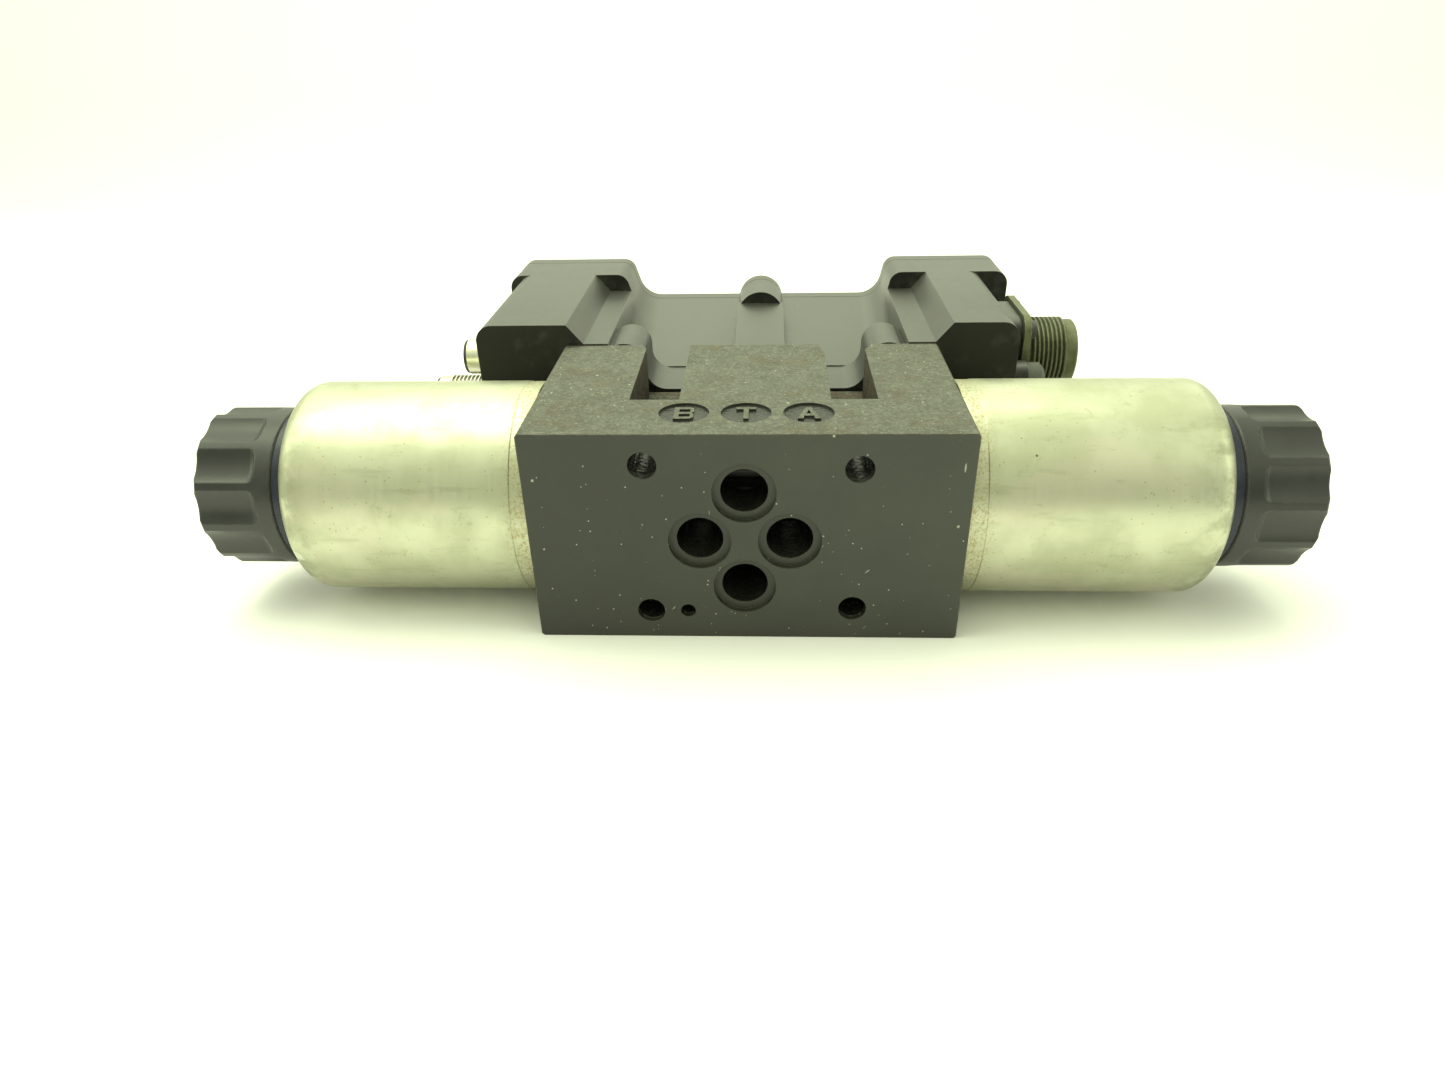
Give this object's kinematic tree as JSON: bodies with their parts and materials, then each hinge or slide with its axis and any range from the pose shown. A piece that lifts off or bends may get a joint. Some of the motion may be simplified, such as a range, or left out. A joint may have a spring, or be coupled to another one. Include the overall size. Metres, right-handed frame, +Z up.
{
  "type": "solenoid directional valve",
  "caption": "Double-solenoid hydraulic directional valve with on-board electronics: a spool steers flow between ports P, A, B and T.",
  "frame": {"origin": "centre of the port pattern on the mounting face", "axes": "+X along the spool towards solenoid a, +Y from the mounting face into the valve, +Z up across the body"},
  "size_m": [0.2258, 0.112, 0.0548],
  "materials": {
    "cast_body": "rough cast, machined mounting face",
    "housing": "matte black-grey anodised",
    "zinc_coil": "satin yellow-green zinc plate",
    "nut_plastic": "matte",
    "seal_rubber": "smooth",
    "spool_steel": "ground",
    "spring_steel": "drawn",
    "soft_iron": "turned",
    "tube_steel": "turned",
    "brass_pin": "satin",
    "bobbin_plastic": "moulded",
    "copper": "enamelled wire",
    "plug_plastic": "moulded",
    "lead_insulation": "smooth",
    "gasket": "matte",
    "screw_steel": "black oxide",
    "circuit_green": "solder resist",
    "capacitor_can": "satin",
    "chip_plastic": "moulded",
    "olive_shell": "olive-drab plating",
    "insulator": "moulded",
    "contact": "gold plate",
    "nickel": "satin nickel",
    "stopper_plastic": "matte"
  },
  "bodies": {
    "valve": {"armature_tube_a": "tube_steel", "armature_tube_b": "tube_steel", "back_cover": "housing", "board_capacitors": "capacitor_can", "board_chips": "chip_plastic", "board_screws": "screw_steel", "bus_connector_insert": "insulator", "bus_connector_pins": "contact", "bus_connector_shell": "nickel", "centering_spring_a": "spring_steel", "centering_spring_b": "spring_steel", "circuit_board": "circuit_green", "coil_bobbin_a": "bobbin_plastic", "coil_bobbin_b": "bobbin_plastic", "coil_leads_a": "lead_insulation", "coil_leads_b": "lead_insulation", "coil_plug_a": "plug_plastic", "coil_plug_b": "plug_plastic", "coil_shell_a": "zinc_coil", "coil_shell_b": "zinc_coil", "coil_winding_a": "copper", "coil_winding_b": "copper", "coil_yoke_disc_a": "soft_iron", "coil_yoke_disc_b": "soft_iron", "cover_gasket": "gasket", "cover_screws": "screw_steel", "electronics_housing": "housing", "housing_gasket": "gasket", "housing_screws": "screw_steel", "main_connector_gasket": "gasket", "main_connector_insert": "insulator", "main_connector_pins": "contact", "main_connector_screws": "screw_steel", "main_connector_shell": "olive_shell", "nut_seal_a": "seal_rubber", "nut_seal_b": "seal_rubber", "port_stopper": "stopper_plastic", "sensor_socket_insert": "insulator", "sensor_socket_pins": "contact", "sensor_socket_shell": "nickel", "tube_seal_a": "seal_rubber", "tube_seal_b": "seal_rubber", "valve_body": "cast_body"},
    "spool_set": {"spool": "spool_steel", "spring_washer_a": "spring_steel", "spring_washer_b": "spring_steel"},
    "armature_a_set": {"armature_a": "soft_iron", "push_pin_a": "spool_steel"},
    "armature_b_set": {"armature_b": "soft_iron", "push_pin_b": "spool_steel"},
    "nut_a": {"coil_nut_a": "nut_plastic"},
    "nut_b": {"coil_nut_b": "nut_plastic"},
    "override_a": {"override_pin_a": "brass_pin"},
    "override_b": {"override_pin_b": "brass_pin"}
  },
  "joints": [
    {"name": "spool_slide", "type": "slide", "parent": "valve", "child": "spool_set", "axis": [1, 0, 0], "range_m": [-0.0026, 0.0026], "deforming": ["centering_spring_a", "centering_spring_b"]},
    {"name": "armature_a_slide", "type": "slide", "parent": "valve", "child": "armature_a_set", "axis": [1, 0, 0], "range_m": [-0.0026, 0.0026]},
    {"name": "armature_b_slide", "type": "slide", "parent": "valve", "child": "armature_b_set", "axis": [1, 0, 0], "range_m": [-0.0026, 0.0026]},
    {"name": "override_a_press", "type": "slide", "parent": "valve", "child": "override_a", "axis": [-1, 0, 0], "range_m": [0, 0.0026]},
    {"name": "override_b_press", "type": "slide", "parent": "valve", "child": "override_b", "axis": [1, 0, 0], "range_m": [0, 0.0026]},
    {"name": "nut_a_turn", "type": "hinge", "parent": "valve", "child": "nut_a", "pos_m": [0.105, 0.0242, 0], "axis": [1, 0, 0], "continuous": true},
    {"name": "nut_b_turn", "type": "hinge", "parent": "valve", "child": "nut_b", "pos_m": [-0.105, 0.0242, 0], "axis": [1, 0, 0], "continuous": true}
  ],
  "couplings": [
    {"joint": "armature_a_slide", "follows": "spool_slide", "ratio": 1},
    {"joint": "armature_b_slide", "follows": "spool_slide", "ratio": 1}
  ]
}
